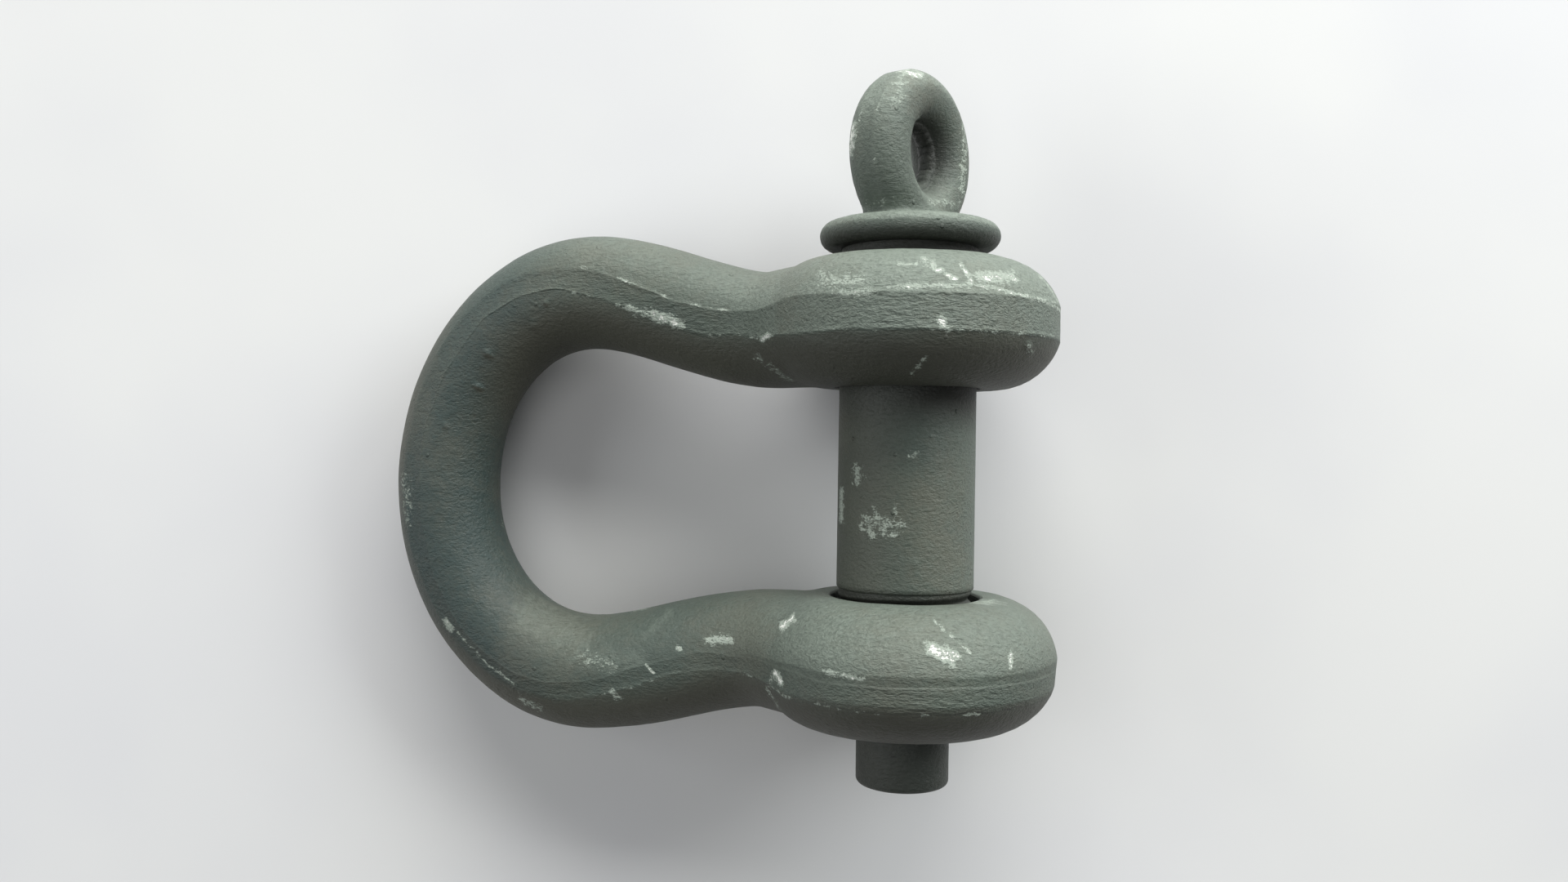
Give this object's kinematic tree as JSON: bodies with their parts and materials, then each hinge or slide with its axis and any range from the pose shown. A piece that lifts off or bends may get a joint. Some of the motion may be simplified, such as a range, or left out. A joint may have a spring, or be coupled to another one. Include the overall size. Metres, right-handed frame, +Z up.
{
  "type": "bow shackle",
  "caption": "Forged bow shackle with round-rimmed ears and a screw pin that has a collar and an eye, painted matt olive.",
  "frame": {"origin": "middle of the underside of the whole object's box, on the surface that the shackle lies on", "axes": "+Z up off that surface, +Y along the pin toward its eye, -X toward the crown of the bow"},
  "size_m": [0.1907, 0.1986, 0.0828],
  "materials": {
    "bow_olive_paint": "matt olive green paint over forged steel, scuffed on its high edges",
    "pin_olive_paint": "matt olive green paint over forged steel, finely wrinkled, with worn patches"
  },
  "bodies": {
    "bow": {"bow": "bow_olive_paint"},
    "pin_shank": {"pin_shank": "pin_olive_paint"},
    "pin_head": {"pin_head": "pin_olive_paint"}
  },
  "joints": [
    {"name": "pin_withdraw", "type": "slide", "parent": "bow", "child": "pin_shank", "axis": [0, 1, 0], "range_m": [-0.003, 0.15]},
    {"name": "pin_turn", "type": "hinge", "parent": "pin_shank", "child": "pin_head", "pos_m": [0.05405, 0.0492, 0.0414], "axis": [0, 1, 0], "continuous": true}
  ]
}
